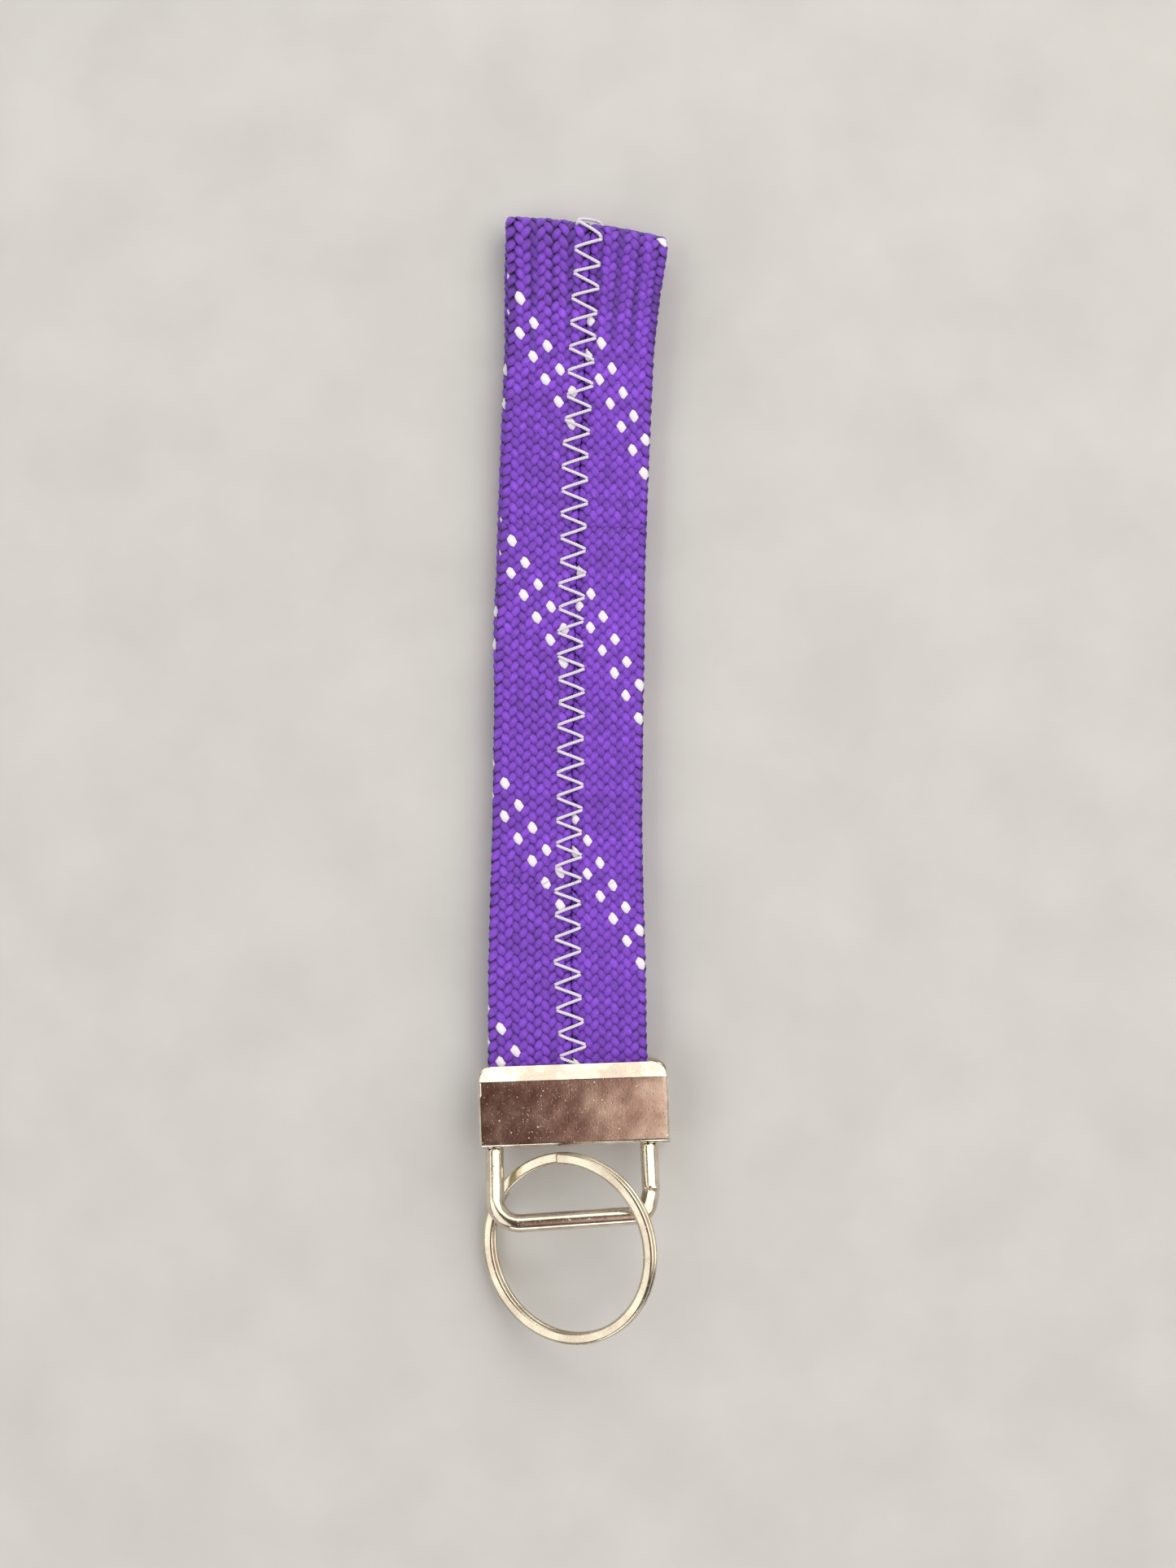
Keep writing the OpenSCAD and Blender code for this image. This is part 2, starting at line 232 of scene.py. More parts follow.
class Nodes:
    """A short way to write a material's nodes."""

    def __init__(self, name):
        self.material = bpy.data.materials.new(name)
        self.material.use_nodes = True
        self.tree = self.material.node_tree
        self.tree.nodes.clear()
        self.out = self.add("OutputMaterial")
        self.shader = self.add("BsdfPrincipled")
        self.link(self.shader, "BSDF", self.out, "Surface")

    def add(self, kind, values=(), **settings):
        node = self.tree.nodes.new("ShaderNode" + kind)
        for key, value in settings.items():
            setattr(node, key, value)
        for key, value in dict(values).items():
            node.inputs[key].default_value = value
        return node

    def link(self, a, out, b, into):
        self.tree.links.new(a.outputs[out], b.inputs[into])

    def surface(self, colour, rough, bump, values):
        """Sets the surface: a colour socket, two nodes and plain values."""
        self.tree.links.new(colour, self.shader.inputs["Base Color"])
        self.link(rough, 0, self.shader, "Roughness")
        self.link(bump, 0, self.shader, "Normal")
        for key, value in values.items():
            self.shader.inputs[key].default_value = value

    def math(self, kind, a, b):
        node = self.add("Math", operation=kind)
        for index, value in enumerate((a, b)):
            if isinstance(value, float):
                node.inputs[index].default_value = value
            else:
                self.link(value, 0, node, index)
        return node

    def noise(self, coords, out, scale, stretch=(1, 1, 1), detail=3, rough=0.5):
        mapping = self.add("Mapping", {"Scale": stretch})
        self.link(coords, out, mapping, "Vector")
        node = self.add("TexNoise", {"Scale": scale, "Detail": detail, "Roughness": rough})
        self.link(mapping, 0, node, "Vector")
        return node

    def ramp(self, source, stops, out=0):
        """Colours for an output's values, from (value, colour) stops."""
        node = self.add("ValToRGB")
        elements = node.color_ramp.elements
        while len(elements) < len(stops):
            elements.new(0.5)
        for element, (at, colour) in zip(elements, stops):
            element.position = at
            element.color = (*colour, 1)
        self.link(source, out, node, "Fac")
        return node

    def mix(self, fac, a, b, blend="MIX"):
        """Mixes two colours, each a socket or plain, and gives the socket of the result."""
        node = self.add("Mix", data_type="RGBA", blend_type=blend)
        for index, value in zip(COLOUR_MIX_INPUTS, (fac, a, b)):
            if isinstance(value, tuple):
                node.inputs[index].default_value = (*value, 1)
            elif isinstance(value, float):
                node.inputs[index].default_value = value
            else:
                self.tree.links.new(value, node.inputs[index])
        return node.outputs[COLOUR_MIX_RESULT]

    def glint_specks(self, coords, scale, share):
        """Small grains in some of the cells of a Voronoi pattern, where the metal paints a glint.
        """
        grit = self.add("TexVoronoi", {"Scale": scale, "Randomness": 1.0})
        self.link(coords, "Object", grit, "Vector")
        near = self.ramp(grit, [(0.06, grey(1)), (0.2, grey(0))], "Distance")
        chosen = self.ramp(grit, [(share, grey(0)), (share + 0.06, grey(1))], "Color")
        return self.math("MULTIPLY", near, chosen)

    def bump(self, height, out, distance, strength=1.0, after=None):
        node = self.add("Bump", {"Distance": distance, "Strength": strength})
        self.link(height, out, node, "Height")
        if after:
            self.link(after, 0, node, "Normal")
        return node


def grey(v):
    return (v, v, v)


def yarn_material():
    """Purple or white fibres, with painted shade where the yarns dive under each other and painted
    highlights on their tops and on single fibres.
    """
    m = Nodes("braided_yarn")
    uv = m.add("UVMap", uv_map="along")
    depth = m.add("Attribute", attribute_name="depth")
    tone = m.add("Attribute", attribute_name="tone")
    tracer = m.add("Attribute", attribute_name="tracer")
    fibres = m.noise(uv, 0, 1.0, (1.1, 34, 1), 4, 0.6)
    patches = m.noise(uv, 0, 1.0, (0.5, 1.5, 1), 2)
    # The brightest stop of the purple is a painted highlight on single fibres.
    purple = m.ramp(fibres, [(0.26, (0.122, 0.024, 0.39)), (0.62, (0.27, 0.074, 0.72)),
                             (0.86, (0.46, 0.23, 0.93))], "Fac")
    white = m.ramp(fibres, [(0.25, (0.86, 0.79, 0.95)), (0.7, (1.0, 0.96, 1.0))], "Fac")
    shade = m.ramp(tone, [(0, grey(0.86)), (1, grey(1.12))], "Fac")
    base = m.mix(1.0, purple.outputs[0], shade.outputs[0], "MULTIPLY")
    light = m.ramp(patches, [(0.3, grey(0.84)), (0.7, grey(1.12))], "Fac")
    base = m.mix(1.0, base, light.outputs[0], "MULTIPLY")
    # Painted shade and highlight: the colour darkens where a yarn dives under the others and in the
    # grooves, and is painted lighter on the yarns' tops.
    painted_shade_and_highlight = m.ramp(depth, [(0.0, (0.06, 0.03, 0.09)), (0.62, (0.15, 0.10, 0.20)),
                             (0.83, (0.80, 0.78, 0.83)), (0.96, grey(1.12))], "Fac")
    base = m.mix(1.0, base, painted_shade_and_highlight.outputs[0], "MULTIPLY")
    # Painted shade: the white yarns darken where they dive under the others.
    edge = m.ramp(depth, [(0.3, (0.35, 0.28, 0.42)), (0.62, (0.85, 0.83, 0.88)),
                          (0.78, grey(1))], "Fac")
    plain = m.mix(1.0, white.outputs[0], edge.outputs[0], "MULTIPLY")
    base = m.mix(tracer.outputs["Fac"], base, plain)
    rough = m.ramp(fibres, [(0.2, grey(0.66)), (0.8, grey(0.46))], "Fac")
    bump = m.bump(fibres, "Fac", 0.00009, 0.7)
    m.surface(base, rough, bump, {"Specular IOR Level": 0.42, "Sheen Weight": 0.22,
                                  "Sheen Roughness": 0.4, "Sheen Tint": (0.86, 0.78, 1.0, 1)})
    return m.material


def thread_material():
    """White fibres, with painted shade between the thread's plies."""
    m = Nodes("sewing_thread")
    uv = m.add("UVMap", uv_map="along")
    depth = m.add("Attribute", attribute_name="depth")
    fibres = m.noise(uv, 0, 1.0, (2.2, 30, 1), 4, 0.65)
    colour = m.ramp(fibres, [(0.25, (0.88, 0.81, 0.94)), (0.7, (1.0, 0.97, 1.0))], "Fac")
    # Painted shade: the colour darkens between the plies.
    plies = m.ramp(depth, [(0.0, (0.80, 0.76, 0.85)), (0.4, (0.98, 0.97, 0.99)),
                           (1.0, grey(1))], "Fac")
    base = m.mix(1.0, colour.outputs[0], plies.outputs[0], "MULTIPLY")
    rough = m.ramp(fibres, [(0.2, grey(0.62)), (0.8, grey(0.42))], "Fac")
    bump = m.bump(fibres, "Fac", 0.00005, 0.6)
    m.surface(base, rough, bump, {"Specular IOR Level": 0.45, "Sheen Weight": 0.25,
                                  "Sheen Roughness": 0.35})
    return m.material


def metal_material(name, colour, polish, mottle, pits):
    """Bright plated steel with cloudy patches, fine pits that are darker, rougher grains with a
    painted glint, and rubbed scratches.

    The polish is the least and the greatest roughness, mottle is how dark the patches are, and
    pits is the pits' size.
    """
    m = Nodes(name)
    coords = m.add("TexCoord")
    clouds = m.noise(coords, "Object", 420, detail=6, rough=0.72)
    fine = m.noise(coords, "Object", 2600, detail=3, rough=0.7)
    lines = m.noise(coords, "Object", 900, (6, 0.25, 1), 2)
    stains = m.noise(coords, "Object", 170, detail=4, rough=0.6)
    spots = m.add("TexVoronoi", {"Scale": 1500.0, "Randomness": 1.0})
    m.link(coords, "Object", spots, "Vector")
    dots = m.ramp(spots, [(0.0, grey(0)), (pits, grey(0.35)), (pits + 0.08, grey(1))], "Distance")
    glint_specks = m.glint_specks(coords, 1200.0, 0.66)
    glint_specks = m.math("MAXIMUM", glint_specks, m.glint_specks(coords, 2600.0, 0.54))
    tint = m.ramp(clouds, [(0.3, tuple(c * (1 - mottle) for c in colour)), (0.7, colour)], "Fac")
    # Darker in the pits.
    metal_colour = m.mix(0.2, tint.outputs[0], dots.outputs[0], "MULTIPLY")
    stain = m.ramp(stains, [(0.40, (1 - mottle, 1 - 1.35 * mottle, 1 - 1.35 * mottle)),
                            (0.60, grey(1.08))], "Fac")
    metal_colour = m.mix(1.0, metal_colour, stain.outputs[0], "MULTIPLY")
    # Painted glint: the grains are painted lighter; they are also rougher, so they catch the lamps.
    metal_colour = m.mix(glint_specks.outputs[0], metal_colour, (1.0, 0.96, 0.88))
    rough = m.add("MapRange", {"To Min": polish[0], "To Max": polish[1],
                               "From Min": 0.3, "From Max": 0.7})
    m.link(clouds, "Fac", rough, "Value")
    matt = m.math("ADD", rough, m.math("MULTIPLY", glint_specks, 0.4))
    bump = None
    for source, out, distance, strength in ((clouds, "Fac", 0.00002, 0.4),
                                            (fine, "Fac", 0.000012, 0.55),
                                            (lines, "Fac", 0.000008, 0.2),
                                            (dots, "Color", 0.00003, 0.5)):
        bump = m.bump(source, out, distance, strength, bump)
    m.surface(metal_colour, matt, bump, {"Metallic": 1.0})
    return m.material


def floor_material():
    m = Nodes("pale_floor")
    coords = m.add("TexCoord")
    grain = m.noise(coords, "Object", 60, detail=6)
    colour = m.ramp(grain, [(0.3, (0.60, 0.59, 0.575)), (0.7, (0.66, 0.65, 0.635))], "Fac")
    m.link(colour, 0, m.shader, "Base Color")
    m.shader.inputs["Roughness"].default_value = 0.75
    m.shader.inputs["Specular IOR Level"].default_value = 0.2
    return m.material


YARN = yarn_material()
THREAD = thread_material()
CLAMP_METAL = metal_material("clamp_nickel", (0.88, 0.82, 0.70), polish=(0.08, 0.19),
                             mottle=0.27, pits=0.09)
WIRE_METAL = metal_material("wire_nickel", (0.77, 0.70, 0.57), polish=(0.11, 0.20),
                            mottle=0.14, pits=0.06)
RING_METAL = metal_material("ring_nickel", (0.71, 0.65, 0.51), polish=(0.12, 0.22),
                            mottle=0.15, pits=0.07)

# ---------- the strap's own line ----------

IN_Y = -1.4  # where the lace ends lie inside the clamp
LIP_LAYER = 0.70  # distance of each layer from the middle, between the lips
TIP_Y = FOLD_Y + 17.1
LOOP_Y = TIP_Y - LOOP_R - LACE_T / 2
SWAY = 4.8  # length over which the layers part before the fold
MIDDLE_X = -0.70  # the strap's middle at LEAN_Y
LEAN_Y = 5
LEAN = 0.022  # the strap's slope to the right at LEAN_Y
CURVE = 0.00031  # how its line curves on from there
SAG = 0.8  # how far the strap hangs down between the clamp and the fold
FOLD_SKEW = math.tan(math.radians(4.2))
PEEK = 0.5  # how far the back layer shows at the left of the front layer
PEEK_TURN = 9  # distance from the fold's tip over which it comes out
BULGE = 0.6  # height of the arch that the fold's tip makes across the strap
BULGE_HALF_W = 11.4
LIP_PRESS = 0.76  # the lace's thickness between the lips, as a share of its free thickness
LINE_STEP = 0.1
TURN_STEPS = 60

# The first y and the length of each stretch over which something comes in
LEAVE_RANGE = (MOUTH_Y - 0.4, 5.2)
PRESS_RANGE = (MOUTH_Y - 0.6, 5)
SINK_RANGE = (8, 32)
RISE_RANGE = (84, 30)
SKEW_RANGE = (96, 22)
PEEK_RANGE = (52, 16)
BULGE_RANGE = (104, 16)
CLAMP_GROOVES = (9, 13)
FOLD_GROOVES = (99, 13)

# Half the strap's width at a few places: wide in the clamp and at the fold
HALF_WIDTHS = ((5, 11.3), (19, 11.2), (38, 10.68), (65, 10.62), (74, 10.42), (106, 10.42),
               (115, 10.9), (120, 11.45))


def middle_x(y):
    d = np.minimum(y, LOOP_Y) - LEAN_Y
    return MIDDLE_X + LEAN * d + CURVE * d * d


def middle_lean(y):
    d = np.minimum(y, LOOP_Y) - LEAN_Y
    return np.arctan(LEAN + 2 * CURVE * d)


def middle_z(y):
    return MID_Z - SAG * (fade(y, *SINK_RANGE) - fade(y, *RISE_RANGE))


def layer_off(y):
    """Distance of each layer from the surface between them."""
    rise = (LAYER - LIP_LAYER) * fade(y, *LEAVE_RANGE)
    return LIP_LAYER + rise + (LOOP_R - LAYER) * fade(y, LOOP_Y - SWAY, SWAY)


def strap_line():
    """The strap's side view: its points, its run from the mouth, its angles and its tip's run."""
    ys = np.arange(IN_Y, LOOP_Y, LINE_STEP)
    turn = np.radians(np.linspace(90, -90, TURN_STEPS + 1))
    z_loop = middle_z(LOOP_Y)
    front = np.stack([ys, middle_z(ys) + layer_off(ys)], 1)
    back = np.stack([ys, middle_z(ys) - layer_off(ys)], 1)[::-1]
    bend = np.stack([LOOP_Y + LOOP_R * np.cos(turn), z_loop + LOOP_R * np.sin(turn)], 1)
    line = np.concatenate([front, bend, back])
    run = run_along(line)
    step = np.gradient(line, axis=0)
    angle = np.unwrap(np.arctan2(step[:, 1], step[:, 0]))
    tip = run[len(front) + TURN_STEPS // 2]
    mouth = np.interp(MOUTH_Y, ys, run[:len(ys)])
    return line, run - mouth, angle, tip - mouth


LINE, RUN, ANGLE, TIP = strap_line()


def run_at(y, back=False):
    """Distance along the strap where it passes y, on its front or back layer."""
    half = np.searchsorted(RUN, TIP)
    if back:
        return float(np.interp(-y, -LINE[half:, 0], RUN[half:]))
    return float(np.interp(y, LINE[:half, 0], RUN[:half]))


def y_at(run):
    return np.interp(run, RUN, LINE[:, 0])


def strap_frame(run):
    """Position of the strap's middle, its sideways direction and its outward normal."""
    y = y_at(run)
    z = np.interp(run, RUN, LINE[:, 1])
    angle = np.interp(run, RUN, ANGLE)
    lean = middle_lean(y)
    skew = FOLD_SKEW * fade(y, *SKEW_RANGE)
    x = middle_x(y) - PEEK * fade(run, TIP, PEEK_TURN) * fade(y, *PEEK_RANGE)
    zero = np.zeros_like(y)
    side = np.stack([np.cos(lean), -np.sin(lean) - skew, zero], -1)
    ahead = unit(np.stack([np.sin(lean) + skew, np.cos(lean), zero], -1))
    up = np.stack([zero, zero, np.cos(angle)], -1)
    return np.stack([x, y, z], -1), side, up - np.sin(angle)[..., None] * ahead


def fold_bulge(run, u):
    """The fold's tip is a shallow arch across the strap, not a straight line."""
    return BULGE * (1 - (u / BULGE_HALF_W) ** 2) * fade(y_at(run), *BULGE_RANGE)


def place(run, u, h):
    """Points at a distance along the strap, across it from its middle and out of it."""
    origin, side, normal = strap_frame(run)
    points = origin + side * u[:, None] + normal * h[:, None]
    points[:, 1] += fold_bulge(run, u)
    return points


def half_width(run):
    return through(y_at(run), HALF_WIDTHS)


def squeeze(run):
    """Thickness of the lace as a share of its free thickness: the lips press it flat."""
    return LIP_PRESS + (1 - LIP_PRESS) * fade(y_at(run), *PRESS_RANGE)


# ---------- braid ----------

SEAM = 0.65  # the seam lies a little right of the strap's middle
SEAM_OVERLAP = 0.32  # the stitches pull the laces this far into each other
CARRIERS = 44
TRACERS = (0, 3)  # the white yarns, counted among those that fall to the right
TUBE_HALF = 0.34  # half thickness of the braided tube's own middle surface
WAVE = 0.27  # how far a yarn rises over and dives under the others
YARN_T = 0.24  # half thickness of one flattened yarn
YARN_LOW_W = 0.29  # its half width where it dives
YARN_GAIN_W = 0.32  # and what it gains where it rises
TRACER_GAIN_W = 0.05  # a white yarn gains this much more
YARN_SIDES = 8
YARN_STRETCH = 1.18  # a slanting yarn is this much longer than the strap under it
CROWN = 0.06  # each face of a lace rises this much at its middle
WALE = 2.63  # spacing of the grooves that open between the braid's ribs
FAINT_GROOVE = 0.25  # depth of the grooves along the strap, as a share of those at the fold
CLAMP_GROOVE = 0.45  # and beside the clamp
GROOVE_DROP = 0.12
GROOVE_SHADE = 0.21
HALF_COLUMNS = np.arange(-1200, 1200) / 2  # far more than the strap's length holds
CUT_MARGIN = 0.12  # least distance from a yarn's end to its next point

# Height and rate of a yarn's ripples: two across the lace, one out of it, one in its width
RIPPLES = ((0.09, 0.8), (0.07, 2.1), (0.016, 1.3), (0.02, 1.7))

# Each lace: the length of one column of its braid, where the pattern starts and how many
# columns on, how it is turned in its tube, where its grooves lie, and how far the sewing
# moves it at each of the STRETCH_RUNS
STRETCH_RUNS = (0, 20, 64, 86, 94, 101, 105, 117)
LACES = {
    "left": {"column": 0.766, "from": 66.6, "columns": 12.5, "shift": 1.3, "wale": 0.6,
             "stretch": (-0.35, 0.0, 0.4, 0.1, -0.15, -0.37, -0.5, -0.1)},
    "right": {"column": 0.778, "from": 62.0, "columns": 8.5, "shift": -0.2, "wale": -1.1,
              "stretch": (0.2, 0.3, 0.75, 0.88, 1.07, 1.69, 1.5, -0.4)},
}
for lace in LACES.values():
    lace["start"] = lace["from"] + lace["columns"] * lace["column"]
    lace["yarns"] = [
        {"tone": rng.random(), "phase": [rng.uniform(0, 6.28) for _ in range(4)]}
        for _ in range(CARRIERS)
    ]


def round_tube(column, half, thick):
    """Place and normal at a column of a flattened tube: across and up, from its left edge."""
    flat = 2 * (half - thick)
    bend = np.pi * thick
    girth = 2 * flat + 2 * bend
    q = np.mod(column / CARRIERS, 1.0) * girth
    q = np.mod(q + bend / 2, girth)
    on_left = q < bend
    on_top = (q >= bend) & (q < bend + flat)
    on_right = (q >= bend + flat) & (q < 2 * bend + flat)
    walls = [on_left, on_top, on_right]
    up = np.full_like(q, np.pi / 2)
    angle = np.select(walls, [-up - q / thick, up, up - (q - bend - flat) / thick], -up)
    base = np.select(walls, [-flat / 2, q - bend - flat / 2, flat / 2],
                     flat / 2 - (q - 2 * bend - flat))
    return base + thick * np.cos(angle) * (on_left | on_right), thick * np.sin(angle), angle


def lace_edges(name, run):
    """Where the lace's two edges lie across the strap."""
    if name == "left":
        return -half_width(run), np.full_like(run, SEAM + SEAM_OVERLAP / 2)
    return np.full_like(run, SEAM - SEAM_OVERLAP / 2), half_width(run)


def braid_run(lace, run):
    """The braid is stretched a little in places by the sewing."""
    return run - np.interp(run, STRETCH_RUNS, lace["stretch"])


def wale_grooves(run, x, offset):
    """How deep the grooves are: strong over the fold, weaker at the clamp, faint between."""
    y = y_at(run)
    near = np.maximum(fade(y, *FOLD_GROOVES), CLAMP_GROOVE * (1 - fade(y, *CLAMP_GROOVES)))
    narrow = (0.5 + 0.5 * np.cos(2 * np.pi * (x - offset) / WALE)) ** 5
    return np.maximum(near, FAINT_GROOVE) * narrow


def yarn_runs(lace, sign, k, start, end):
    """Where a yarn has its points: at every half column, and at the piece's two ends."""
    runs = lace["start"] - lace["column"] * (2 * k + sign * HALF_COLUMNS)
    inner = runs[(runs > start + CUT_MARGIN) & (runs < end - CUT_MARGIN)]
    return np.concatenate([[start], np.sort(inner), [end]])


def ripple(yarn, index, run):
    height, rate = RIPPLES[index]
    return height * np.sin(run * rate + yarn["phase"][index])


def add_yarn(tubes, name, rising, k, start, end):
    """One yarn of one lace between two distances along the strap."""
    lace = LACES[name]
    sign = -1 if rising else 1
    float_at = 2.5 if rising else 0.5
    yarn = lace["yarns"][2 * k + (1 if rising else 0)]
    tracer = 1.0 if not rising and k in TRACERS else 0.0
    run = yarn_runs(lace, sign, k, start, end)
    column = sign * ((lace["start"] - braid_run(lace, run)) / lace["column"] - 2 * k)
    wave = np.cos(np.pi / 2 * (column - float_at))
    press = squeeze(run)
    low, high = lace_edges(name, run)
    half_span = (high - low) / 2 - (WAVE + YARN_T) * press
    wobble = ripple(yarn, 0, run) + ripple(yarn, 1, run)
    x, z, angle = round_tube(column - lace["shift"] + wobble, half_span, TUBE_HALF * press)
    groove = wale_grooves(run, x, lace["wale"])
    lift = wave * WAVE * press + ripple(yarn, 2, run) - GROOVE_DROP * groove
    crown = CROWN * (1 - (x / half_span) ** 2)
    u = (low + high) / 2 + x + lift * np.cos(angle)
    h = z + (lift + crown) * np.sin(angle)
    _, side, normal = strap_frame(run)
    normals = side * np.cos(angle)[:, None] + normal * np.sin(angle)[:, None]
    gain = (YARN_GAIN_W + TRACER_GAIN_W * tracer) * (0.5 + 0.5 * wave)
    wide = YARN_LOW_W + gain + ripple(yarn, 3, run)
    rings = tube_rings(place(run, u, h), normals, wide, YARN_T * press, YARN_SIDES)
    up = np.sin(np.arange(YARN_SIDES) * 2 * np.pi / YARN_SIDES)
    height = wave[:, None] * WAVE + up[None] * YARN_T
    # The depth is lowered in the grooves, so the material paints shade there too.
    depth = 0.5 + height / (2 * (WAVE + YARN_T)) - GROOVE_SHADE * groove[:, None]
    tubes.add(rings, run * YARN_STRETCH, depth, yarn["tone"], tracer)


CUT_REACH = 25
BEND_REACH = 14
CUT_LOW = HALF_Y - CUT_REACH
CUT_HIGH = HALF_Y + CUT_REACH
ROOT_Y = joints["loop_open"][1]
BEND_ROOT = (ROOT_Y, ROOT_Y + 18)
BEND_LOW = (HALF_Y - BEND_REACH, HALF_Y + BEND_REACH)
BEND_HIGH = (FOLD_Y - BEND_REACH, FOLD_Y + 9)

# Name, distances along the strap, bodies, and the y range in which it bends
SECTIONS = [
    ("front_root", RUN[0], run_at(CUT_LOW), ("clamp", "front_lower"), BEND_ROOT),
    ("front_middle", run_at(CUT_LOW), run_at(CUT_HIGH), ("front_lower", "front_upper"), BEND_LOW),
    ("front_top", run_at(CUT_HIGH), TIP, ("front_upper", "fold"), BEND_HIGH),
    ("back_top", TIP, run_at(CUT_HIGH, True), ("fold", "back_upper"), BEND_HIGH[::-1]),
    ("back_middle", run_at(CUT_HIGH, True), run_at(CUT_LOW, True),
     ("back_upper", "back_lower"), BEND_LOW[::-1]),
    ("back_root", run_at(CUT_LOW, True), run_at(ROOT_Y, True), ("back_lower",), None),
    ("back_end", run_at(ROOT_Y, True), RUN[-1], ("clamp",), None),
]


def attach(obj, bodies):
    """Rides on one body, or, if it spans two, stays fixed where it lies."""
    if len(bodies) == 1:
        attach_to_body(obj, bodies[0])
    else:
        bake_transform(obj)


for name in LACES:
    for part, start, end, bodies, bend in SECTIONS:
        tubes = Tubes()
        for rising in (False, True):
            for k in range(CARRIERS // 2):
                add_yarn(tubes, name, rising, k, start, end)
        obj = tubes.make(f"{name}_lace_{part}_braid", YARN)
        attach(obj, bodies)
        stood_for = [f"{name}_lace_clamped_ends" if body == "clamp" else f"{name}_lace_{body}"
                     for body in bodies]
        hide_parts(*stood_for)

# ---------- zigzag seam ----------

STITCH_HALF = 1.88
STITCH_PITCH = 3.3
HOLE_GAP = 0.2  # distance between the thread's two legs where they meet in a needle hole
HOLE_JITTER = 0.08
DIVE = 0.1  # share of a leg over which the thread comes up out of its hole
LEG_POINTS = 27
LOOSE = 0.3  # how far the needle thread stands off at the fold's tip
LOOSE_RUN = 2.4
THREAD_STEP = 0.16
TWIST = 1.15  # length over which the thread's three plies turn once
PLY_RELIEF = 0.15

# The seam wanders across the strap: y, and distance from the strap's middle
SEAM_MIDDLES = ((8, 0.8), (11, 0.45), (16, 0.12), (25, 0.1), (47, 0.4), (56, 0.4), (64, 0.1),
                (80, 0.05), (92, -0.1), (102, 0.2), (112, 0.3), (120, 0.35))


def zigzag_line(first, last, surface, dip, seed):
    """Points of a zigzag stitch: it arches over each leg and dives into every needle hole."""
    rand = random.Random(seed)
    leg = STITCH_PITCH / 2
    t = np.linspace(0, 1, LEG_POINTS)
    rise = smooth(np.minimum(t, 1 - t) / DIVE) ** 0.7
    sweep = 0.65 * t + 0.35 * smooth(t * 0.8 + 0.1)
    runs, us, hs = [], [], []
    previous = rand.uniform(-HOLE_JITTER, HOLE_JITTER)
    for i in range(int((last - first) / leg)):
        side = 1 if i % 2 else -1
        run = first + i * leg + HOLE_GAP / 2 + (leg - HOLE_GAP) * t
        shift = rand.uniform(-HOLE_JITTER, HOLE_JITTER)
        low, high = STITCH_HALF + previous, STITCH_HALF + shift
        across = side * ((low + high) * sweep - low)
        bow = rand.uniform(-0.05, 0.07) * np.sin(np.pi * t)
        loose = LOOSE * np.exp(-((run - TIP) / LOOSE_RUN) ** 2) * (surface > 0)
        runs.append(run + bow)
        us.append(through(y_at(run), SEAM_MIDDLES) + across)
        hs.append(np.sign(surface) * (abs(surface) - dip + (dip + loose) * rise))
        previous = shift
    return np.concatenate(runs), np.concatenate(us), np.concatenate(hs)


def even_line(points, step):
    """The same line with evenly spaced points, a little smoothed, and its length at each."""
    length = run_along(points)
    even = np.linspace(0, length[-1], int(length[-1] / step))
    line = np.stack([np.interp(even, length, points[:, i]) for i in range(3)], 1)
    for _ in range(2):
        line[1:-1] = (line[:-2] + 2 * line[1:-1] + line[2:]) / 4
    return line, even, length


def twisted_rings(line, along, radius, phi, lobes):
    """Rings about a thread's line, with three lobes that turn along it."""
    normals = carried_normals(line, (0, 0, 1))
    across = np.cross(unit(np.gradient(line, axis=0)), normals)
    shape = radius * (1 + PLY_RELIEF * lobes)
    turn = phi[None] + along[:, None] * 2 * np.pi / TWIST
    return (line[:, None] + across[:, None] * (np.cos(turn) * shape)[..., None]
            + normals[:, None] * (np.sin(turn) * shape)[..., None])


def thread_pieces(name, surface, dip, radius, sides, first, last, seed):
    """One thread's zigzag, cut where the strap's sections are."""
    run, u, h = zigzag_line(first, last, surface, dip, seed)
    line, even, length = even_line(place(run, u, h * squeeze(run)), THREAD_STEP)
    runs = np.interp(even, length, run)
    phi = np.arange(sides) * 2 * np.pi / sides
    lobes = np.cos(3 * phi)
    rings = twisted_rings(line, even, radius, phi, lobes)
    for part, start, end, bodies, bend in SECTIONS:
        keep = np.nonzero((runs >= start) & (runs <= end))[0]
        if len(keep) < 3:
            continue
        low, high = keep[0], min(keep[-1] + 2, len(line))
        tubes = Tubes()
        # How far out each point of the plies lies, which the thread's material turns into painted
        # shade.
        depth = np.broadcast_to(0.5 + 0.5 * lobes, (high - low, sides))
        tubes.add(rings[low:high], even[low:high], depth)
        obj = tubes.make(f"{name}_{part}", THREAD)
        attach(obj, bodies)
        nodes = [f"{name}_{body}" for body in bodies if body != "clamp"]
        if nodes:
            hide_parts(*nodes)


thread_pieces("needle_thread", surface=0.98, dip=0.8, radius=0.22, sides=12,
              first=-0.6, last=RUN[-1] - 7.5, seed=3)
thread_pieces("bobbin_thread", surface=-0.93, dip=0.6, radius=0.12, sides=6,
              first=0.4, last=RUN[-1] - 8.2, seed=5)

# ---------- clamp ----------

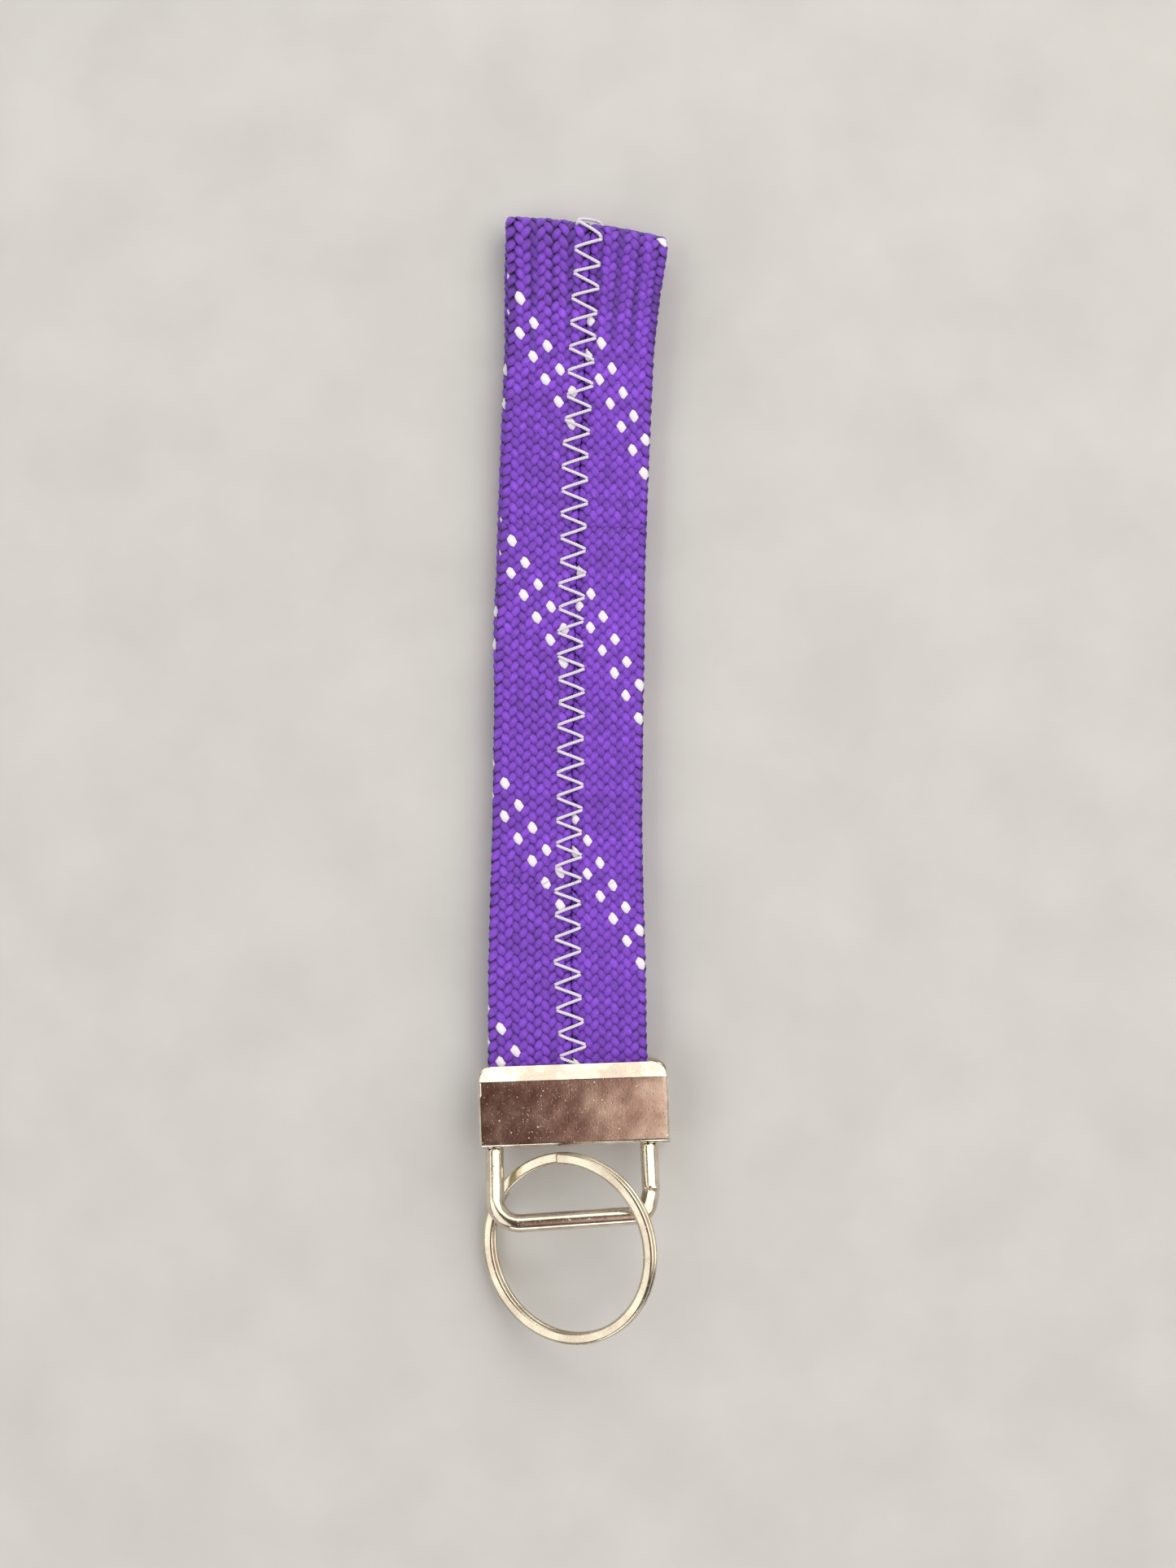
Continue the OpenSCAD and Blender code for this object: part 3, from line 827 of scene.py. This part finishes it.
bail_low, bail_high = box_mm("bail")
BAIL_X = (bail_low[0] + bail_high[0]) / 2
LEG_X = 10.8
SHEET = 0.6
LIP = 2.0
LIP_DROP = 1.2
LIP_CREASE_R = 0.4
LIP_CORNER = 1.8
LIP_TIP = 1.5  # the last stretch of each lip, which has rows of its own for the round corners
CREASE_Y = MOUTH_Y - LIP
WEB_R = 0.8
ROW_STEP = 0.35
SIDE_BEVEL = 0.32
SLOT_W = 2.9
SLOT_DEPTH = 0.9
DISH_RANGE = (2.4, 1.2)  # the dishing dies out towards the lips
TEETH = 9
TOOTH_HALF_W = 0.45
TOOTH_H = 0.55
TOOTH_YS = (MOUTH_Y - 0.15, MOUTH_Y - 0.9)
EDGE_BEVEL = 0.09


def lip_drop(y):
    """How far a lip leans in at y."""
    return (y - CREASE_Y) / LIP * LIP_DROP


def clamp_rows():
    """The sheet's outer surface seen from the side, from the front lip round to the back lip."""
    web_y = shell_low[1]
    tip_y = MOUTH_Y - LIP_TIP
    corners = [(CREASE_Y, CLAMP_T), (web_y, CLAMP_T), (web_y, 0), (CREASE_Y, 0)]
    body = rounded_path([(tip_y, CLAMP_T - lip_drop(tip_y)), *corners, (tip_y, lip_drop(tip_y))],
                        [LIP_CREASE_R, WEB_R, WEB_R, LIP_CREASE_R], ROW_STEP)
    swing = np.sin(np.radians(np.linspace(12, 90, 12)))
    lip_y = MOUTH_Y - LIP_CORNER + LIP_CORNER * swing
    front = np.stack([lip_y, CLAMP_T - lip_drop(lip_y)], 1)[::-1]
    back = np.stack([lip_y, lip_drop(lip_y)], 1)
    return np.concatenate([front, body, back])


def clamp_dish(x, y):
    """The front's shallow dents, which bend its reflections."""
    bowl = 0.10 - 0.12 * (x / CLAMP_HALF_W) ** 2
    waves = (0.016 * np.sin(x * 0.31 + 0.7) * np.cos(y * 0.42) + 0.006 * np.sin(x * 0.83 + y * 0.5)
             + 0.004 * np.sin(x * 1.9 - y * 1.3))
    return (bowl + waves) * (1 - fade(y, *DISH_RANGE))


def clamp_half_width(y):
    """Half the clamp's width at y, with the lips' round corners."""
    over = max(y - (MOUTH_Y - LIP_CORNER), 0)
    return CLAMP_HALF_W - LIP_CORNER + math.sqrt(max(LIP_CORNER ** 2 - over ** 2, 0))


def clamp_columns():
    """Places across the clamp, with a line at each side of both slots."""
    edge = CLAMP_HALF_W
    slots = [BAIL_X + side * LEG_X + half * SLOT_W / 2 for side in (-1, 1) for half in (-1, 1)]
    stops = [-edge, *slots, edge]
    counts = (3, 5, 38, 5, 3)
    spans = [np.linspace(a, b, count)[:-1] for a, b, count in zip(stops, stops[1:], counts)]
    return np.concatenate(spans + [[edge]])


def clamp_points(rows, xs):
    """The sheet's closed section at each row: outer points, right edge, inner points, left edge."""
    step = unit(np.gradient(rows, axis=0))
    inward = np.stack([-step[:, 1], step[:, 0]], 1)
    points = []
    for (y, z), (iy, iz) in zip(rows, inward):
        width = clamp_half_width(y)
        bevel = SIDE_BEVEL * abs(iz)
        row = xs * width / CLAMP_HALF_W
        lift = clamp_dish(row, y) * max(-iz, 0.0)
        outer = np.stack([row, np.full_like(row, y), z + lift], 1)
        outer[0, 0] += bevel
        outer[-1, 0] -= bevel
        inner = np.stack([row, np.full_like(row, y + iy * SHEET), z + iz * SHEET + lift], 1)[::-1]
        right = [width, y + iy * SIDE_BEVEL, z + iz * SIDE_BEVEL]
        left = [-width, y + iy * SIDE_BEVEL, z + iz * SIDE_BEVEL]
        points += [*outer, right, *inner, left]
    return points


def slot_cells(rows, xs):
    """Which cells of the sheet are cut away for the bail: by row and by column."""
    across = (xs[1:] + xs[:-1]) / 2 - BAIL_X
    middle = (rows[1:] + rows[:-1]) / 2
    in_column = np.abs(np.abs(across) - LEG_X) < SLOT_W / 2
    in_web = middle[:, 0] < shell_low[1] + SLOT_DEPTH
    in_height = np.abs(middle[:, 1] - MID_Z) < MID_Z - SHEET
    return (in_web & in_height)[:, None] & in_column[None]


def sheet_faces(cut):
    """The sheet's surface between its rows, open where cells are cut, and its slots' walls."""
    n = cut.shape[1] + 1
    ring = 2 * n + 2
    column = {j: j for j in range(n - 1)}
    column.update({2 * n - 1 - j: j for j in range(n - 1)})
    faces = []
    for i in range(cut.shape[0]):
        a, b = i * ring, (i + 1) * ring
        for j in range(ring):
            if j in column and cut[i, column[j]]:
                continue
            k = (j + 1) % ring
            faces.append([a + j, a + k, b + k, b + j])
    for i, j in np.argwhere(cut):
        a, b = i * ring, (i + 1) * ring
        near, far = 2 * n - j, 2 * n - j - 1
        if not cut[i, j - 1]:
            faces.append([a + j, b + j, b + near, a + near])
        if not cut[i, j + 1]:
            faces.append([b + j + 1, a + j + 1, a + far, b + far])
        if not cut[i - 1, j]:
            faces.append([a + j + 1, a + j, a + near, a + far])
        if not cut[i + 1, j]:
            faces.append([b + j, b + j + 1, b + far, b + near])
    return faces


def lip_ends(rows, n):
    """The narrow faces that close both lips."""
    cap = [[j + 1, j, 2 * n - j, 2 * n - j - 1] for j in range(n - 1)]
    cap += [[n, n - 1, n + 1], [0, 2 * n + 1, 2 * n]]
    last = (rows - 1) * (2 * n + 2)
    return cap + [[last + v for v in face[::-1]] for face in cap]


def lip_teeth(first):
    """Small prisms inside both lips, with their points numbered from first."""
    points, faces = [], []
    pitch = (2 * CLAMP_HALF_W - 2 * LIP_CORNER) / TEETH
    for i in range(TEETH):
        x = (i - (TEETH - 1) / 2) * pitch
        for up in (1, -1):
            root = MID_Z - up * (MID_Z - LIP_DROP - SHEET * 0.8)
            s = first + len(points)
            for y in TOOTH_YS:
                points += [[x - TOOTH_HALF_W, y, root], [x + TOOTH_HALF_W, y, root],
                           [x, y, root + up * TOOTH_H]]
            prism = [[s, s + 1, s + 2], [s + 5, s + 4, s + 3], [s, s + 3, s + 4, s + 1],
                     [s + 1, s + 4, s + 5, s + 2], [s + 2, s + 5, s + 3, s]]
            faces += [face if up < 0 else face[::-1] for face in prism]
    return points, faces


def clamp_mesh():
    rows = clamp_rows()
    xs = clamp_columns()
    points = clamp_points(rows, xs)
    faces = sheet_faces(slot_cells(rows, xs)) + lip_ends(len(rows), len(xs))
    tooth_points, tooth_faces = lip_teeth(len(points))
    return np.array(points + tooth_points), faces + tooth_faces


clamp = make_mesh("clamp_shell_folded_sheet", *clamp_mesh(), CLAMP_METAL)
bevel = clamp.modifiers.new("edges", "BEVEL")
bevel.width = EDGE_BEVEL * TO_M
bevel.segments = 2
bevel.limit_method = "ANGLE"
bevel.angle_limit = math.radians(38)
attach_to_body(clamp, "clamp")
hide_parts("clamp_shell")

# ---------- bail ----------

WIRE_R = 1.25
WIRE_SIDES = 28
WIRE_CHAMFER = 0.1
WIRE_STEP = 0.4
WIRE_TURN = 7  # degrees between the points of a bend
CHAMFER_AT = 0.3  # where the first and the last step of the wire get one more ring
BAIL_RISE = math.radians(27)
LEFT_LEG = 13.4
RIGHT_LEG = 12.7
BAR_RIGHT_X = 9.95  # less than LEG_X, so the right leg leans in below its butt joint
PIVOT_BEND = 1.5
LEFT_BEND = 3.4
RIGHT_BEND = 1.9
BUTT_D = 9.35  # distance from the pivot to the wire's butt joint
BUTT_GAP = 0.1
BUTT_SHIFT = 0.03


def chamfered_rings(centres, normals, radius, sides, chamfer):
    """Round rings along a wire, with a small chamfer at both of its cut ends."""
    run = run_along(centres)
    near = np.minimum(run, run[-1] - run)
    r = radius - chamfer * (1 - np.clip(near / chamfer, 0, 1))
    return tube_rings(centres, normals, r, r, sides), run


def bail_mesh():
    """The wire from its butt joint up, through the clamp, down and along the bar to the joint."""
    path = rounded_path(
        [(LEG_X, BUTT_D), (LEG_X, 0), (-LEG_X, 0), (-LEG_X, LEFT_LEG), (BAR_RIGHT_X, RIGHT_LEG),
         (LEG_X - BUTT_SHIFT, BUTT_D + BUTT_GAP)],
        [PIVOT_BEND, PIVOT_BEND, LEFT_BEND, RIGHT_BEND], WIRE_STEP, WIRE_TURN)
    ends = [path[0] + (path[1] - path[0]) * CHAMFER_AT,
            path[-1] + (path[-2] - path[-1]) * CHAMFER_AT]
    path = np.concatenate([path[:1], ends[:1], path[1:-1], ends[1:], path[-1:]])
    pivot = np.array(joints["bail_swing"]) + np.array([BAIL_X, 0, 0])
    down = np.array([0, -math.cos(BAIL_RISE), math.sin(BAIL_RISE)])
    up = np.array([0, math.sin(BAIL_RISE), math.cos(BAIL_RISE)])
    centres = pivot + path[:, :1] * np.array([1, 0, 0]) + path[:, 1:] * down
    normals = np.broadcast_to(up, centres.shape)
    return chamfered_rings(centres, normals, WIRE_R, WIRE_SIDES, WIRE_CHAMFER)


tubes = Tubes()
tubes.add(*bail_mesh(), depth=1.0)
bail = tubes.make("bail_bent_wire", WIRE_METAL)
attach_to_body(bail, "bail")
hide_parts("bail")

# ---------- split ring ----------

RING_R = 12.5
RING_W = 1.6
RING_SIDES = 24
RING_STEPS = 340
COIL_T = 0.86
COIL_GAP = 0.06
COIL_END = 0.86  # the end's section as a share of the coil's, which chamfers it
COIL_END_TURN = 0.4  # degrees that the chamfer takes
ROUND_W = 0.75  # powers below 1 make the section squarer than an ellipse
ROUND_T = 0.8
JOG = 46  # degrees over which the coil climbs from its lower turn to its upper one
JOG_START = 119
RING_TILT = math.radians(26.5)


def signed_power(value, power):
    return np.sign(value) * np.abs(value) ** power


def ring_mesh():
    """A flat coil of nearly two turns, tilted about the strap's own direction."""
    first, last = JOG / 2 + 1, 720 - JOG / 2 - 1
    a = np.linspace(first, last, RING_STEPS)
    a = np.concatenate([[first, first + COIL_END_TURN], a[1:-1], [last - COIL_END_TURN, last]])
    lift = (smooth((a - 360) / JOG + 0.5) - 0.5) * (COIL_T + COIL_GAP)
    angle = np.radians(a + JOG_START)
    phi = (np.arange(RING_SIDES) + 0.5) * 2 * np.pi / RING_SIDES
    across = signed_power(np.cos(phi), ROUND_W) * RING_W / 2
    above = signed_power(np.sin(phi), ROUND_T) * COIL_T / 2
    shrink = np.ones(len(a))
    shrink[[0, -1]] = COIL_END
    radius = RING_R + across[None] * shrink[:, None]
    x, y = radius * np.cos(angle)[:, None], radius * np.sin(angle)[:, None]
    z = lift[:, None] + above[None] * shrink[:, None]
    cos_t, sin_t = math.cos(RING_TILT), math.sin(RING_TILT)
    turned = np.stack([x * cos_t - z * sin_t, y, x * sin_t + z * cos_t], -1)
    return turned[:, ::-1] + np.array(joints["ring_turn"]), np.radians(a) * RING_R


tubes = Tubes()
tubes.add(*ring_mesh(), depth=1.0)
ring = tubes.make("split_ring_coil", RING_METAL)
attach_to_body(ring, "split_ring")
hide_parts("split_ring")

# ---------- stage, light and camera ----------


def stage_plane(name, size, height, material):
    """A square plane of the stage, with its size and height in millimetres."""
    h = size / 2
    obj = make_mesh(name, [[-h, -h, height], [h, -h, height], [h, h, height], [-h, h, height]],
                    [[0, 1, 2, 3]], material)
    return obj


def card_material():
    """Dark brown at the left to pale peach at the right: the clamp's face reflects it."""
    card = Nodes("warm_card")
    coords = card.add("TexCoord")
    split = card.add("SeparateXYZ")
    card.link(coords, "Object", split, "Vector")
    span = card.add("MapRange", {"From Min": -0.085, "From Max": 0.075})
    card.link(split, "X", span, "Value")
    tones = card.ramp(span, [(0.0, (0.104, 0.049, 0.041)), (0.5, (0.32, 0.183, 0.159)),
                             (1.0, (1.0, 0.74, 0.64))])
    glow = card.add("Emission", {"Strength": 1.0})
    card.link(tones, 0, glow, "Color")
    card.link(glow, 0, card.out, "Surface")
    return card.material


stage_plane("floor", 8000, 0, floor_material())
stage_plane("overhead_card", 620, 900, card_material()).location = (0.0, -0.12, 0)

AIM = Vector((0.003, 0.045, 0))


def soft_light(name, place_m, size, power, colour=(1, 1, 1)):
    """A rectangular area light that looks at the strap's middle."""
    data = bpy.data.lights.new(name, "AREA")
    data.shape = "RECTANGLE"
    data.size, data.size_y = size
    data.energy = power
    data.color = colour
    obj = bpy.data.objects.new(name, data)
    obj.location = place_m
    obj.rotation_euler = (AIM - Vector(place_m)).to_track_quat("-Z", "Y").to_euler()
    bpy.context.scene.collection.objects.link(obj)


soft_light("key", (0.62, 0.25, 0.70), (1.5, 1.0), 8.4, (1.0, 0.98, 0.93))
soft_light("fill", (-0.72, 0.0, 0.60), (1.3, 0.8), 4.6, (1.0, 0.99, 0.96))
soft_light("back", (0.05, 0.92, 0.66), (1.2, 0.6), 3.9, (0.97, 1.0, 0.91))
soft_light("front", (-0.1, -0.85, 0.45), (0.7, 0.3), 1.4)

# A sky that is pale at the horizon and dark above
world = bpy.data.worlds.new("studio")
world.use_nodes = True
sky = world.node_tree
sky_where = sky.nodes.new("ShaderNodeTexCoord")
sky_split = sky.nodes.new("ShaderNodeSeparateXYZ")
sky_ramp = sky.nodes.new("ShaderNodeValToRGB")
horizon, zenith = sky_ramp.color_ramp.elements
horizon.position = 0.02
horizon.color = (0.66, 0.65, 0.63, 1)
zenith.position = 0.45
zenith.color = (0.12, 0.115, 0.11, 1)
sky.links.new(sky_where.outputs["Generated"], sky_split.inputs[0])
sky.links.new(sky_split.outputs["Z"], sky_ramp.inputs["Fac"])
sky.links.new(sky_ramp.outputs["Color"], sky.nodes["Background"].inputs["Color"])
bpy.context.scene.world = world
bpy.context.scene.view_settings.view_transform = "Standard"

# The camera looks straight down, turned by two degrees
camera_data = bpy.data.cameras.new("camera")
camera_data.lens = 51.06
camera_data.sensor_width = 36
camera_data.clip_start = 0.01
camera_data.clip_end = 20
camera = bpy.data.objects.new("camera", camera_data)
camera.location = (0.00354, 0.0447, 0.316)
camera.rotation_euler = (0, 0, math.radians(-2))
bpy.context.scene.collection.objects.link(camera)
bpy.context.scene.camera = camera

bpy.context.view_layer.update()
